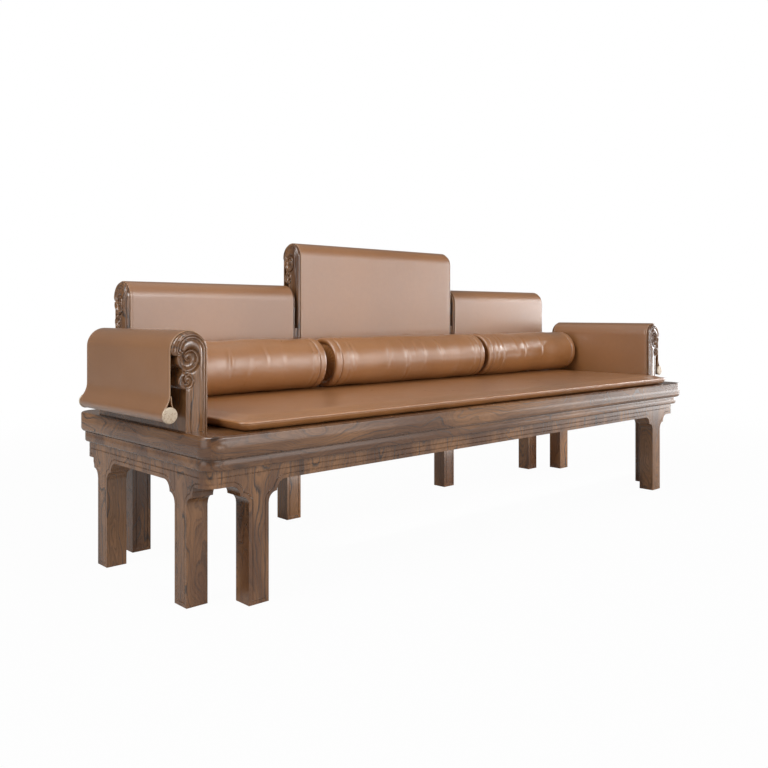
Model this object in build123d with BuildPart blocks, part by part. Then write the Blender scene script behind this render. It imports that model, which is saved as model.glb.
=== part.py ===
"""Luohan daybed: a long, low platform on ten square legs, with two scroll-ended arms and
three scroll-topped back screens.  Hide is draped over every arm and screen and hangs
down the outer side to a weighted roller.  A thin hide mat and three bolsters lie on it.

Millimetres, +X along the platform, +Y to its back, +Z up.  The origin is on the floor,
below the middle of the whole piece's outline.
"""
import os
from dataclasses import dataclass

from build123d import *

os.makedirs("parts", exist_ok=True)

# ---------------------------------------------------------------- driving dimensions
# Platform
deck_width = 726.0
deck_top = 415.0
deck_corner = 50.0
frame_height = 55.0
frame_rail = 110.0
frame_top_round = 6.0
frame_bottom_round = 12.0
deck_thickness = 16.0
deck_tongue = 10.0
deck_tongue_thickness = 6.0
batten_count = 5
batten_width = 45.0
batten_depth = 28.0
batten_spacing = 400.0

# Waist moulding, below the platform's frame
waist_height = 28.0
waist_end_inset = 7.0
waist_front_inset = 16.0
waist_width = 84.0
waist_corner = 44.0
waist_round = 6.0

# Legs and aprons
leg_end_inset = 13.5
leg_front_inset = 34.5
leg_size = 57.0
leg_arris = 1.0
leg_tenon = 26.0
leg_tenon_rise = 14.0
long_leg_inset = 117.0
side_leg_inset = 86.0
apron_height = 41.5
apron_corner = 38.0
foil_radius = 24.0
arch_radius = 27.0
groove_inset = 9.2
groove_width = 2.6
groove_depth = 1.5
groove_top_drop = 15.7

# Scroll shared by the arms and the back screens, measured from the board's inner face
# and down from its top
board_thickness = 57.0
scroll_radius = 46.0
curl_drop = 11.0
big_volute_reach = 54.0
big_volute_drop = 65.0
big_volute_radius = 26.5
small_volute_reach = 58.4
small_volute_drop = 117.2
small_volute_radius = 18.8
waist_reach = 70.0
hollow_width = 8.0
hollow_depth = 3.0
volute_rim = 5.5

# Posts at both ends of every arm and screen
post_length = 60.0
tenon_thickness = 28.0
tenon_length = 36.0
tenon_depth = 20.0
tenon_clearance = 0.3

# Arms and back screens
arm_length = 479.0
arm_height = 236.5
arm_front_inset = 116.7
arm_end_inset = 11.5
screen_back_inset = 48.0
side_screen_length = 601.3
side_screen_height = 371.0
middle_screen_length = 764.0
middle_screen_height = 517.0
screen_gap = 11.5
screen_end_inset = 105.2
key_depth = 50.0
key_setback = 2.5
key_height = 230.0

# Hide and its rollers
hide_thickness = 3.0
hide_clearance = 0.3
hide_end_margin = 10.5
hide_foot_gap = 1.0
flap_gap = 0.9
roller_radius = 15.0
roller_height = 42.0
roller_offset = 2.5
loop_length = 35.0
loop_tip = 2.0
cap_radius = 19.5
cap_thickness = 6.0
cap_round = 1.5

# Loose cushions
cushion_clearance = 0.3
mat_end_gap = 29.7
mat_front_inset = 15.4
mat_back_gap = 8.0
mat_edge_height = 24.0
mat_crown = 10.5
mat_crown_margin = 75.0
mat_corner = 18.0
mat_round = 8.0
bolster_radius = 82.0
bolster_round = 10.0
bolster_shortfall = 14.0
bolster_shift = 25.0
left_bolster_gap = 38.0
right_bolster_gap = 24.0
left_arm_gap = 56.0
right_arm_gap = 18.0

# ---------------------------------------------------------------- derived sizes
frame_bottom = deck_top - frame_height
waist_bottom = frame_bottom - waist_height
apron_bottom = waist_bottom - apron_height
cusp_height = apron_bottom - arch_radius
foil_foot = cusp_height - foil_radius
deck_bottom = deck_top - deck_thickness
batten_bottom = deck_bottom - batten_depth

side_screen_x = (middle_screen_length + side_screen_length) / 2 + screen_gap
key_x = (middle_screen_length + screen_gap) / 2
key_width = screen_gap - 2 * tenon_clearance
deck_half_length = side_screen_x + side_screen_length / 2 + screen_end_inset
deck_length = 2 * deck_half_length
deck_half_width = deck_width / 2
opening_length = deck_length - 2 * frame_rail
opening_width = deck_width - 2 * frame_rail
waist_half_length = deck_half_length - waist_end_inset
waist_half_width = deck_half_width - waist_front_inset
leg_half_length = deck_half_length - leg_end_inset
leg_half_width = deck_half_width - leg_front_inset
long_leg_x = leg_half_length - long_leg_inset - leg_size / 2
side_leg_y = leg_half_width - side_leg_inset - leg_size / 2
middle_leg_x = key_x
leg_tenon_length = waist_height + leg_tenon_rise

arm_face = deck_half_length - arm_end_inset - board_thickness
arm_y = -deck_half_width + arm_front_inset + arm_length / 2
screen_face = deck_half_width - screen_back_inset - board_thickness

flap_inner = 2 * scroll_radius + hide_clearance
flap_middle = flap_inner + hide_thickness / 2
hide_skin = hide_clearance + hide_thickness
roller_reach = flap_middle + roller_offset
loop_radius = roller_radius + hide_thickness

# The screens' rollers reach behind the platform, so the platform's middle lies a little
# in front of the origin, which is below the middle of the whole outline.
back_reach = max(screen_face + roller_reach + cap_radius, deck_half_width)
middle_y = (deck_half_width - back_reach) / 2

mat_front = -deck_half_width + mat_front_inset
mat_back = screen_face - hide_skin - mat_back_gap
mat_bottom = deck_top + cushion_clearance
mat_top = mat_bottom + mat_edge_height + mat_crown
mat_length = 2 * (arm_face - hide_skin - mat_end_gap)
bolster_y = screen_face - hide_skin - cushion_clearance - bolster_radius
bolster_z = mat_top + cushion_clearance + bolster_radius
middle_bolster_length = middle_screen_length - bolster_shortfall
middle_bolster_left = bolster_shift - middle_bolster_length / 2
middle_bolster_right = bolster_shift + middle_bolster_length / 2


def save(piece, name):
    """Label a finished piece and write its STEP file."""
    piece.part.label = name
    export_step(piece.part, f"parts/{name}.step")


def level(height, x=0.0, y=0.0):
    """A horizontal plane at a height, placed from the middle of the platform."""
    return Plane((x, middle_y + y, height))


# ---------------------------------------------------------------- arms and screens
@dataclass
class Board:
    """An arm or a back screen, which stands on the deck with its inner face at `face`."""

    outward: Vector
    face: Vector
    length: float
    height: float

    @property
    def along(self):
        return self.outward.cross(Vector(0, 0, 1))

    def section(self, place):
        """A plane across the board: x is outward from its inner face, y is up from the deck."""
        return Plane(self.face + self.along * place, x_dir=self.outward, z_dir=self.along)

    def foot(self, end):
        """A plane on the deck, in the middle of the post at one end (-1 or 1)."""
        place = end * (self.length - post_length) / 2
        middle = self.face + self.along * place + self.outward * (board_thickness / 2)
        return Plane(middle, x_dir=self.outward, z_dir=(0, 0, 1))


def arm(way):
    outward = Vector(way, 0, 0)
    face = Vector(way * arm_face, middle_y + arm_y, deck_top)
    return Board(outward, face, arm_length, arm_height)


def screen(x, length, height):
    return Board(Vector(0, 1, 0), Vector(x, middle_y + screen_face, deck_top), length, height)


boards = {
    "arm_left": arm(-1),
    "arm_right": arm(1),
    "back_left": screen(-side_screen_x, side_screen_length, side_screen_height),
    "back_centre": screen(0, middle_screen_length, middle_screen_height),
    "back_right": screen(side_screen_x, side_screen_length, side_screen_height),
}


def scroll_face(height):
    """The closed section of a board: a scroll rolled outward over two volutes."""
    arch_foot = height - scroll_radius
    curl_foot = arch_foot - curl_drop
    big_z = height - big_volute_drop
    small_z = height - small_volute_drop
    curl_depth = big_z - curl_foot
    curl_x = big_volute_reach + (big_volute_radius**2 - curl_depth**2) ** 0.5
    big_waist = (big_volute_radius**2 - (waist_reach - big_volute_reach) ** 2) ** 0.5
    small_waist = (small_volute_radius**2 - (waist_reach - small_volute_reach) ** 2) ** 0.5
    small_foot = (small_volute_radius**2 - (board_thickness - small_volute_reach) ** 2) ** 0.5
    with BuildLine() as outline:
        Line((0, 0), (0, arch_foot))
        ThreePointArc(
            (0, arch_foot), (scroll_radius, height), (2 * scroll_radius, arch_foot)
        )
        TangentArc((2 * scroll_radius, arch_foot), (curl_x, curl_foot), tangent=(0, -1))
        ThreePointArc(
            (curl_x, curl_foot),
            (big_volute_reach + big_volute_radius, big_z),
            (waist_reach, big_z - big_waist),
        )
        Line((waist_reach, big_z - big_waist), (waist_reach, small_z + small_waist))
        ThreePointArc(
            (waist_reach, small_z + small_waist),
            (small_volute_reach + small_volute_radius, small_z),
            (board_thickness, small_z - small_foot),
        )
        Line((board_thickness, small_z - small_foot), (board_thickness, 0))
        Line((board_thickness, 0), (0, 0))
    make_face(outline.edges())


def hollow_rings(board):
    """The sunk ring inside each volute's rim, cut into an end face."""
    volutes = (
        (big_volute_reach, big_volute_drop, big_volute_radius),
        (small_volute_reach, small_volute_drop, small_volute_radius),
    )
    for reach, drop, radius in volutes:
        outer = radius - volute_rim
        with Locations((reach, board.height - drop)):
            Circle(outer)
            Circle(outer - hollow_width, mode=Mode.SUBTRACT)


def add_post(board, end):
    """One carved end post with its foot tenon, in the current part."""
    half = post_length / 2
    with BuildSketch(board.section(end * (board.length / 2 - half))) as face:
        scroll_face(board.height)
    extrude(face.sketch, amount=half, both=True)
    with BuildSketch(board.section(end * board.length / 2)) as hollows:
        hollow_rings(board)
    extrude(hollows.sketch, amount=-end * hollow_depth, mode=Mode.SUBTRACT)
    with BuildSketch(board.foot(end)) as tenon:
        Rectangle(tenon_thickness, tenon_length)
    extrude(tenon.sketch, amount=-tenon_depth)


def make_panel(board, name):
    """The scroll-topped board between the two end posts."""
    with BuildPart() as panel:
        with BuildSketch(board.section(0)):
            scroll_face(board.height)
        extrude(amount=board.length / 2 - post_length, both=True)
    save(panel, name)


def make_cover(board, name):
    """The hide over a board, from the deck up its inner face and over the scroll."""
    arch_foot = board.height - scroll_radius
    far = 2 * scroll_radius
    with BuildPart() as cover:
        with BuildSketch(board.section(0)):
            with BuildLine():
                Line((-hide_clearance, hide_foot_gap), (-hide_clearance, arch_foot))
                ThreePointArc(
                    (-hide_clearance, arch_foot),
                    (scroll_radius, board.height + hide_clearance),
                    (far + hide_clearance, arch_foot),
                )
                Line((far + hide_clearance, arch_foot), (far + hide_skin, arch_foot))
                ThreePointArc(
                    (far + hide_skin, arch_foot),
                    (scroll_radius, board.height + hide_skin),
                    (-hide_skin, arch_foot),
                )
                Line((-hide_skin, arch_foot), (-hide_skin, hide_foot_gap))
                Line((-hide_skin, hide_foot_gap), (-hide_clearance, hide_foot_gap))
            make_face()
        extrude(amount=board.length / 2 - hide_end_margin, both=True)
    save(cover, name)


def make_flap(board, name):
    """The hide that hangs from the scroll, sewn in a loop round the roller."""
    half = board.length / 2 - hide_end_margin
    flap_top = board.height - scroll_radius - flap_gap
    loop_top = roller_height + loop_length
    with BuildPart() as flap:
        with BuildSketch(board.section(0)):
            with Locations((roller_reach, roller_height)):
                Circle(loop_radius)
            with Locations((flap_middle, loop_top)):
                Circle(hide_thickness / 2)
            make_hull()
        extrude(amount=half, both=True)
        with BuildSketch(board.section(0)):
            with Locations((roller_reach, roller_height)):
                Circle(roller_radius)
            with Locations((flap_middle, loop_top - loop_radius)):
                Circle(loop_tip / 2)
            make_hull()
        extrude(amount=half, both=True, mode=Mode.SUBTRACT)
        with BuildSketch(board.section(0)):
            with Locations((flap_middle, (flap_top + loop_top) / 2)):
                Rectangle(hide_thickness, flap_top - loop_top)
        extrude(amount=half, both=True)
    save(flap, name)


def make_roller(board, name):
    """The turned rod in the hide's loop, with a flat cap on each end."""
    half = board.length / 2 - hide_end_margin
    with BuildPart() as roller:
        with BuildSketch(board.section(0)):
            with Locations((roller_reach, roller_height)):
                Circle(roller_radius)
        extrude(amount=half, both=True)
        for end in (-1, 1):
            with BuildSketch(board.section(end * half)):
                with Locations((roller_reach, roller_height)):
                    Circle(cap_radius)
            extrude(amount=end * cap_thickness)
        tips = roller.faces().sort_by(lambda face: face.center().dot(board.along))
        fillet((tips[0].edges() + tips[-1].edges()), radius=cap_round)
    save(roller, name)


def make_arm_posts(board, arm_name):
    """An arm's two posts; the front one stands towards -Y."""
    for word, toward in (("front", -1), ("back", 1)):
        with BuildPart() as post:
            add_post(board, end=toward * round(board.along.Y))
        save(post, f"{arm_name}_{word}_post")


def make_screen_posts(board, screen_name):
    """A back screen's two posts, as one pair."""
    with BuildPart() as posts:
        for end in (-1, 1):
            add_post(board, end)
    save(posts, f"{screen_name}_posts")


# ---------------------------------------------------------------- stand: legs and aprons
@dataclass
class Side:
    """One face of the stand: legs and aprons lie flush in it."""

    along: Vector
    distance: float
    half_length: float
    legs: tuple

    def plane(self, depth=0.0):
        """An upright plane with x along the face, y up and z outward."""
        outward = self.along.cross(Vector(0, 0, 1))
        origin = Vector(0, middle_y, 0) + outward * (self.distance - depth)
        return Plane(origin, x_dir=self.along, z_dir=outward)


long_pair = (-long_leg_x, long_leg_x)
side_pair = (-side_leg_y, side_leg_y)
back_row = (-long_leg_x, -middle_leg_x, middle_leg_x, long_leg_x)
sides = {
    "front": Side(Vector(1, 0, 0), leg_half_width, leg_half_length, long_pair),
    "back": Side(Vector(-1, 0, 0), leg_half_width, leg_half_length, back_row),
    "right": Side(Vector(0, 1, 0), leg_half_length, leg_half_width, side_pair),
    "left": Side(Vector(0, -1, 0), leg_half_length, leg_half_width, side_pair),
}


def foil_edge(edge, way):
    """Up a leg's edge, round the foil to the cusp, and round the arch to the crown."""
    cusp = (edge + way * foil_radius, cusp_height)
    crown = (edge + way * (foil_radius + arch_radius), apron_bottom)
    Line((edge, 0), (edge, foil_foot))
    TangentArc((edge, foil_foot), cusp, tangent=(0, 1))
    TangentArc(cusp, crown, tangent=(0, 1))
    return crown


def opening_between(left, right, mode=Mode.SUBTRACT):
    """The opening below an apron, between two legs' edges."""
    with BuildLine() as outline:
        first = foil_edge(left, 1)
        last = foil_edge(right, -1)
        Line(first, last)
        Line((left, 0), (right, 0))
    make_face(outline.edges(), mode=mode)


def opening_to_corner(edge, corner, mode=Mode.SUBTRACT):
    """The opening from a leg's edge to the stand's open corner."""
    with BuildLine() as outline:
        crown = foil_edge(edge, 1 if corner > edge else -1)
        Line(crown, (corner, apron_bottom))
        Line((corner, apron_bottom), (corner, 0))
        Line((corner, 0), (edge, 0))
    make_face(outline.edges(), mode=mode)


def groove_band(side, depth, corner_margin):
    """The groove line on one face: it follows the openings and closes above each foot."""
    groove_top = waist_bottom - groove_top_drop
    rail_top = groove_top + groove_inset
    half_leg = leg_size / 2
    with BuildSketch(side.plane(depth)) as band:
        with Locations((0, rail_top / 2)):
            Rectangle(2 * side.half_length, rail_top)
        for left, right in zip(side.legs, side.legs[1:]):
            opening_between(left + half_leg, right - half_leg)
        opening_to_corner(side.legs[-1] + half_leg, side.half_length)
        opening_to_corner(side.legs[0] - half_leg, -side.half_length)
        offset(amount=-groove_inset, kind=Kind.INTERSECTION, mode=Mode.REPLACE)
        offset(amount=-groove_width, kind=Kind.INTERSECTION, mode=Mode.SUBTRACT)
        with Locations((0, rail_top / 2)):
            Rectangle(2 * (side.half_length - corner_margin), rail_top, mode=Mode.INTERSECT)
    return band.sketch


outer_grooves = {name: groove_band(side, 0, apron_corner) for name, side in sides.items()}
inner_grooves = {name: groove_band(side, leg_size, leg_size) for name, side in sides.items()}


def cut_grooves(*names):
    """Cut the groove line into the outer and inner faces of the current part."""
    for name in names:
        extrude(outer_grooves[name], amount=-groove_depth, mode=Mode.SUBTRACT)
        extrude(inner_grooves[name], amount=groove_depth, mode=Mode.SUBTRACT)


def cut_corner_grooves(x_way, y_way):
    """Carry both level grooves round the stand's rounded corner."""
    top_line = waist_bottom - groove_top_drop - groove_width
    bottom_line = apron_bottom + groove_inset
    round_middle = (
        x_way * (leg_half_length - apron_corner / 2),
        y_way * (leg_half_width - apron_corner / 2),
    )
    for height in (bottom_line, top_line):
        with BuildSketch(level(height)) as ring:
            RectangleRounded(2 * leg_half_length, 2 * leg_half_width, apron_corner)
            RectangleRounded(
                2 * (leg_half_length - groove_depth),
                2 * (leg_half_width - groove_depth),
                apron_corner - groove_depth,
                mode=Mode.SUBTRACT,
            )
            with Locations(round_middle):
                Rectangle(apron_corner, apron_corner, mode=Mode.INTERSECT)
        extrude(ring.sketch, amount=groove_width, mode=Mode.SUBTRACT)


leg_row_y = leg_half_width - leg_size / 2
leg_row_x = leg_half_length - leg_size / 2
legs = {}
for y_word, y_way in (("front", -1), ("back", 1)):
    for x_word, x_way in (("left", -1), ("right", 1)):
        legs[f"leg_{y_word}_{x_word}"] = (x_way * long_leg_x, y_way * leg_row_y, y_word)
        legs[f"leg_side_{x_word}_{y_word}"] = (x_way * leg_row_x, y_way * side_leg_y, x_word)
for x_word, x_way in (("left", -1), ("right", 1)):
    legs[f"leg_back_mid_{x_word}"] = (x_way * middle_leg_x, leg_row_y, "back")


def make_leg(name, x, y, side_name):
    """A square leg with a tenon through the waist moulding into the platform's frame."""
    with BuildPart() as leg:
        with BuildSketch(level(0, x, y)):
            RectangleRounded(leg_size, leg_size, leg_arris)
        extrude(amount=waist_bottom)
        with BuildSketch(level(waist_bottom, x, y)):
            Rectangle(leg_tenon, leg_tenon)
        extrude(amount=leg_tenon_length)
        cut_grooves(side_name)
    save(leg, name)


def make_straight_apron(name, side_name, left, right):
    """An apron between two legs, with a cusped spandrel at each end."""
    with BuildPart() as apron:
        with BuildSketch(sides[side_name].plane()):
            with Locations(((left + right) / 2, (foil_foot + waist_bottom) / 2)):
                Rectangle(right - left, waist_bottom - foil_foot)
            opening_between(left, right)
        extrude(amount=-leg_size)
        cut_grooves(side_name)
    save(apron, name)


def make_corner_apron(name, x_way, y_way):
    """The apron that turns a rounded corner, over an open corner of the stand."""
    long_name = "front" if y_way < 0 else "back"
    side_name = "left" if x_way < 0 else "right"
    inner_x = long_leg_x + leg_size / 2
    inner_y = side_leg_y + leg_size / 2
    centre = (x_way * (inner_x + leg_half_length) / 2, y_way * (inner_y + leg_half_width) / 2)
    with BuildPart() as apron:
        with BuildSketch(level(foil_foot)):
            RectangleRounded(2 * leg_half_length, 2 * leg_half_width, apron_corner)
            Rectangle(
                2 * (leg_half_length - leg_size),
                2 * (leg_half_width - leg_size),
                mode=Mode.SUBTRACT,
            )
            with Locations(centre):
                Rectangle(leg_half_length - inner_x, leg_half_width - inner_y, mode=Mode.INTERSECT)
        extrude(amount=waist_bottom - foil_foot)
        for face_name, way, edge in (
            (long_name, x_way * sides[long_name].along.X, inner_x),
            (side_name, y_way * sides[side_name].along.Y, inner_y),
        ):
            face = sides[face_name]
            with BuildSketch(face.plane()):
                opening_to_corner(way * edge, way * face.half_length, mode=Mode.ADD)
            extrude(amount=-leg_size, mode=Mode.SUBTRACT)
            cut_grooves(face_name)
        cut_corner_grooves(x_way, y_way)
    save(apron, name)


# ---------------------------------------------------------------- platform
def mitre(side_name, half_length, half_width):
    """The share of a rectangular frame that belongs to one side, mitred at 45 degrees."""
    if side_name in ("front", "back"):
        way = -1 if side_name == "front" else 1
        ridge = half_length - half_width
        corners = (
            (-half_length, way * half_width),
            (half_length, way * half_width),
            (ridge, 0),
            (-ridge, 0),
        )
    else:
        way = -1 if side_name == "left" else 1
        corners = (
            (way * half_length, -half_width),
            (way * half_length, half_width),
            (way * (half_length - half_width), 0),
        )
    with BuildLine() as outline:
        Polyline(*corners, close=True)
    make_face(outline.edges())


def leg_mortises():
    """The square seats for the legs' tenons, in the current sketch."""
    with Locations(*[(x, y) for x, y, side_name in legs.values()]):
        Rectangle(leg_tenon, leg_tenon)


def make_frame_rail(side_name):
    """One rail of the platform's mitred frame, grooved for the deck and mortised."""
    with BuildPart() as rail:
        with BuildSketch(level(frame_bottom)):
            RectangleRounded(deck_length, deck_width, deck_corner)
            Rectangle(opening_length, opening_width, mode=Mode.SUBTRACT)
        extrude(amount=frame_height)
        layers = rail.faces().sort_by(Axis.Z)
        fillet(layers[-1].outer_wire().edges(), radius=frame_top_round)
        layers = rail.faces().sort_by(Axis.Z)
        fillet(layers[0].outer_wire().edges(), radius=frame_bottom_round)
        with BuildSketch(level(deck_bottom)):
            Rectangle(opening_length + 2 * deck_tongue, opening_width + 2 * deck_tongue)
        extrude(amount=deck_tongue_thickness, mode=Mode.SUBTRACT)
        with BuildSketch(level(frame_bottom)):
            leg_mortises()
        extrude(amount=leg_tenon_rise, mode=Mode.SUBTRACT)
        for board in boards.values():
            for end in (-1, 1):
                with BuildSketch(board.foot(end)):
                    Rectangle(
                        tenon_thickness + 2 * tenon_clearance, tenon_length + 2 * tenon_clearance
                    )
                extrude(amount=-tenon_depth - tenon_clearance, mode=Mode.SUBTRACT)
        with BuildSketch(level(frame_bottom)):
            mitre(side_name, deck_half_length, deck_half_width)
        extrude(amount=frame_height, mode=Mode.INTERSECT)
    save(rail, f"frame_{side_name}")


def make_waist_moulding():
    """The four mitred strips between the frame and the legs, with holes for the tenons."""
    with BuildPart() as moulding:
        with BuildSketch(level(waist_bottom)):
            RectangleRounded(2 * waist_half_length, 2 * waist_half_width, waist_corner)
            Rectangle(
                2 * (waist_half_length - waist_width),
                2 * (waist_half_width - waist_width),
                mode=Mode.SUBTRACT,
            )
        extrude(amount=waist_height)
        fillet(moulding.faces().sort_by(Axis.Z)[0].outer_wire().edges(), radius=waist_round)
        with BuildSketch(level(waist_bottom)):
            leg_mortises()
        extrude(amount=waist_height, mode=Mode.SUBTRACT)
    strips = []
    for side_name in sides:
        with BuildPart() as strip:
            add(moulding.part)
            with BuildSketch(level(waist_bottom)):
                mitre(side_name, waist_half_length, waist_half_width)
            extrude(amount=waist_height, mode=Mode.INTERSECT)
        strips.append(strip.part.solid())
    save_group(strips, "waist_moulding")


def save_group(solids, name):
    """Write several solids that touch, kept apart, as one node."""
    group = Compound(label=name, children=solids)
    export_step(group, f"parts/{name}.step")


def make_deck():
    """The deck panel, flush in the frame on its tongue, and the battens below it."""
    with BuildPart() as panel:
        with BuildSketch(level(deck_bottom)):
            Rectangle(opening_length, opening_width)
        extrude(amount=deck_thickness)
        with BuildSketch(level(deck_bottom)):
            Rectangle(opening_length + 2 * deck_tongue, opening_width + 2 * deck_tongue)
        extrude(amount=deck_tongue_thickness)
    save(panel, "deck_panel")

    with BuildPart() as battens:
        with BuildSketch(level(batten_bottom)):
            with GridLocations(batten_spacing, 0, batten_count, 1):
                Rectangle(batten_width, opening_width)
        extrude(amount=batten_depth)
    save(battens, "deck_battens")


def make_spacer_keys():
    """The two filling strips between the middle screen and its neighbours."""
    key_y = screen_face + key_setback + key_depth / 2
    with BuildPart() as keys:
        with BuildSketch(level(deck_top, y=key_y)):
            with GridLocations(2 * key_x, 0, 2, 1):
                Rectangle(key_width, key_depth)
        extrude(amount=key_height)
    save(keys, "spacer_keys")


# ---------------------------------------------------------------- loose cushions
def make_mat():
    """The flat seat mat, a little fuller in the middle than at its edges."""
    mat_width = mat_back - mat_front
    mat_y = (mat_back + mat_front) / 2
    with BuildPart() as mat:
        with BuildSketch(level(mat_bottom, y=mat_y)):
            RectangleRounded(mat_length, mat_width, mat_corner)
        extrude(amount=mat_edge_height)
        rims = mat.faces().filter_by(Axis.Z)
        fillet([edge for face in rims for edge in face.edges()], radius=mat_round)
        with BuildSketch(level(mat_bottom + mat_edge_height, y=mat_y)):
            RectangleRounded(
                mat_length - 2 * mat_round, mat_width - 2 * mat_round, mat_corner - mat_round
            )
        with BuildSketch(level(mat_top, y=mat_y)):
            RectangleRounded(
                mat_length - 2 * mat_crown_margin, mat_width - 2 * mat_crown_margin, mat_corner
            )
        loft()
    save(mat, "seat_mat")


def make_bolster(name, left, right):
    """A round bolster that lies along the back of the mat, between two ends."""
    start = Plane((left, middle_y + bolster_y, bolster_z), x_dir=(0, 1, 0), z_dir=(1, 0, 0))
    with BuildPart() as bolster:
        with BuildSketch(start):
            Circle(bolster_radius)
        extrude(amount=right - left)
        ends = bolster.faces().filter_by(GeomType.PLANE)
        fillet([edge for face in ends for edge in face.edges()], radius=bolster_round)
    save(bolster, name)


# ---------------------------------------------------------------- the whole piece
for side_name in sides:
    make_frame_rail(side_name)
make_waist_moulding()
make_deck()
make_spacer_keys()

for leg_name, (leg_x, leg_y, side_name) in legs.items():
    make_leg(leg_name, leg_x, leg_y, side_name)

long_edge = long_leg_x - leg_size / 2
side_edge = side_leg_y - leg_size / 2
middle_edges = (middle_leg_x - leg_size / 2, middle_leg_x + leg_size / 2)
make_straight_apron("apron_front", "front", -long_edge, long_edge)
make_straight_apron("apron_back_left", "back", middle_edges[1], long_edge)
make_straight_apron("apron_back_centre", "back", -middle_edges[0], middle_edges[0])
make_straight_apron("apron_back_right", "back", -long_edge, -middle_edges[1])
make_straight_apron("apron_side_left", "left", -side_edge, side_edge)
make_straight_apron("apron_side_right", "right", -side_edge, side_edge)
for y_word, y_way in (("front", -1), ("back", 1)):
    for x_word, x_way in (("left", -1), ("right", 1)):
        make_corner_apron(f"apron_corner_{y_word}_{x_word}", x_way, y_way)

for board_name, board in boards.items():
    make_panel(board, f"{board_name}_panel")
    make_cover(board, f"{board_name}_cover")
    make_flap(board, f"{board_name}_flap")
    make_roller(board, f"{board_name}_roller")
    if board_name.startswith("arm"):
        make_arm_posts(board, board_name)
    else:
        make_screen_posts(board, board_name)

make_mat()
arm_hide = arm_face - hide_skin
make_bolster("bolster_left", left_arm_gap - arm_hide, middle_bolster_left - left_bolster_gap)
make_bolster("bolster_centre", middle_bolster_left, middle_bolster_right)
make_bolster("bolster_right", middle_bolster_right + right_bolster_gap, arm_hide - right_arm_gap)
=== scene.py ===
"""Luohan daybed in polished walnut and cognac hide: carved posts, draped hides, cushions
and finishes round the joiner's frame.  Metres, in the frame's own axes; the scroll's
section is given in millimetres, outward from a board's inner face and down from its top.
"""
import math
import random

import bmesh
import bpy
import numpy as np
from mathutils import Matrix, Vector, geometry


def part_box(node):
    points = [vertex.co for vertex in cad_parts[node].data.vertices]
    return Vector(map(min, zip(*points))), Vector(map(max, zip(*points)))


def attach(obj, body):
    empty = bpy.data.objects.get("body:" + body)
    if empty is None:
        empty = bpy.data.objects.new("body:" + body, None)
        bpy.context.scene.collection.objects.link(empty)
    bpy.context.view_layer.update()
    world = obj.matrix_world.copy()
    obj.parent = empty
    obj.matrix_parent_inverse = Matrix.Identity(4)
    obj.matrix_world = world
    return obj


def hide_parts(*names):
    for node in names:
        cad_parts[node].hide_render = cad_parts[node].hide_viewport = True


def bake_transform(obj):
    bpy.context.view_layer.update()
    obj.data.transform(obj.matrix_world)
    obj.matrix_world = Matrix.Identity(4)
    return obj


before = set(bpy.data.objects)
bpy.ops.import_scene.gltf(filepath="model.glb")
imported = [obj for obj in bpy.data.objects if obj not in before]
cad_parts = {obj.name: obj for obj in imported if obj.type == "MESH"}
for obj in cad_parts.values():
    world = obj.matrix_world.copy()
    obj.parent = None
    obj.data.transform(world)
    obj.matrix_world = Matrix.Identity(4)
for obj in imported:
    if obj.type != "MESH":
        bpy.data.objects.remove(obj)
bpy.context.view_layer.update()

MM = 0.001
UP = Vector((0, 0, 1))

# The scroll's section, in millimetres: centres are (outward, down)
SCROLL_RADIUS = 46.0
ARCH_DOWN = 46.0
BIG_VOLUTE = (54.0, 65.0)
SMALL_VOLUTE = (58.4, 117.2)
POST_LENGTH = 60.0

# The post's solid body and its smaller carved face, which a round joins
BODY = {
    "arch": (46.0, 46.0), "curl": 11.0, "notch": (77.8, 57.4), "big": 26.5, "small": 18.8, "inner": 0.0,
    "outer": 57.0,
}
FACE = {
    "arch": (42.0, 41.2), "curl": 9.0, "notch": (73.6, 57.0), "big": 24.6, "small": 17.4, "inner": 0.8,
    "outer": 56.0,
}

# The rolls of the two volutes, as their middle lines from the outer end inward
BIG_ROLL = [
    (76.4, 62.0), (75.2, 73.0), (69.4, 83.6), (59.6, 89.6), (48.2, 89.8), (37.6, 85.2), (30.2, 76.6),
    (27.6, 66.0), (29.2, 55.8), (35.0, 48.2), (43.0, 44.6), (51.4, 45.4), (58.4, 50.0), (61.6, 57.2),
    (59.8, 64.4), (54.6, 68.2), (49.4, 66.8), (48.4, 62.6),
]
SMALL_ROLL = [
    (65.2, 100.4), (70.4, 105.2), (72.2, 113.4), (70.8, 122.0), (66.0, 128.4), (58.6, 131.6), (50.2, 130.6),
    (43.4, 125.6), (39.8, 117.8), (40.6, 109.6), (45.4, 103.6), (52.6, 102.0), (58.4, 105.2), (60.6, 111.2),
    (58.2, 116.8), (53.2, 119.0), (50.0, 116.4),
]
FINE_DEPTH = 142.0
FACE_GRID = 1.1
FOOT_POINTS = 48

# Hide, its loop and the roller, in millimetres
HIDE = 3.0
HIDE_CLEARANCE = 0.3
HIDE_MARGIN = 10.5
BEND_LENGTH = 55.0
HIDE_FOOT = 1.0
ROLLER_RADIUS = 15.0
ROLLER_HEIGHT = 42.0
ROLLER_OFFSET = 2.5
LOOP_LENGTH = 35.0
HEM = 7.0
HIDE_HANG = 2 * SCROLL_RADIUS + HIDE_CLEARANCE + HIDE / 2
ROLLER_OUT = HIDE_HANG + ROLLER_OFFSET


def corners_of(name):
    return [Vector(corner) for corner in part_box(name)]


# ---- node trees
def wire(tree, node, wiring):
    """Give each named input a value or another node's output."""
    for name, value in wiring.items():
        if isinstance(value, bpy.types.NodeSocket):
            tree.links.new(value, node.inputs[name])
        else:
            node.inputs[name].default_value = value


def add_node(tree, kind, wiring=None, **settings):
    """A shader node with its settings and what its inputs hold."""
    node = tree.nodes.new(kind)
    for name, value in settings.items():
        setattr(node, name, value)
    wire(tree, node, wiring or {})
    return node


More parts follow.
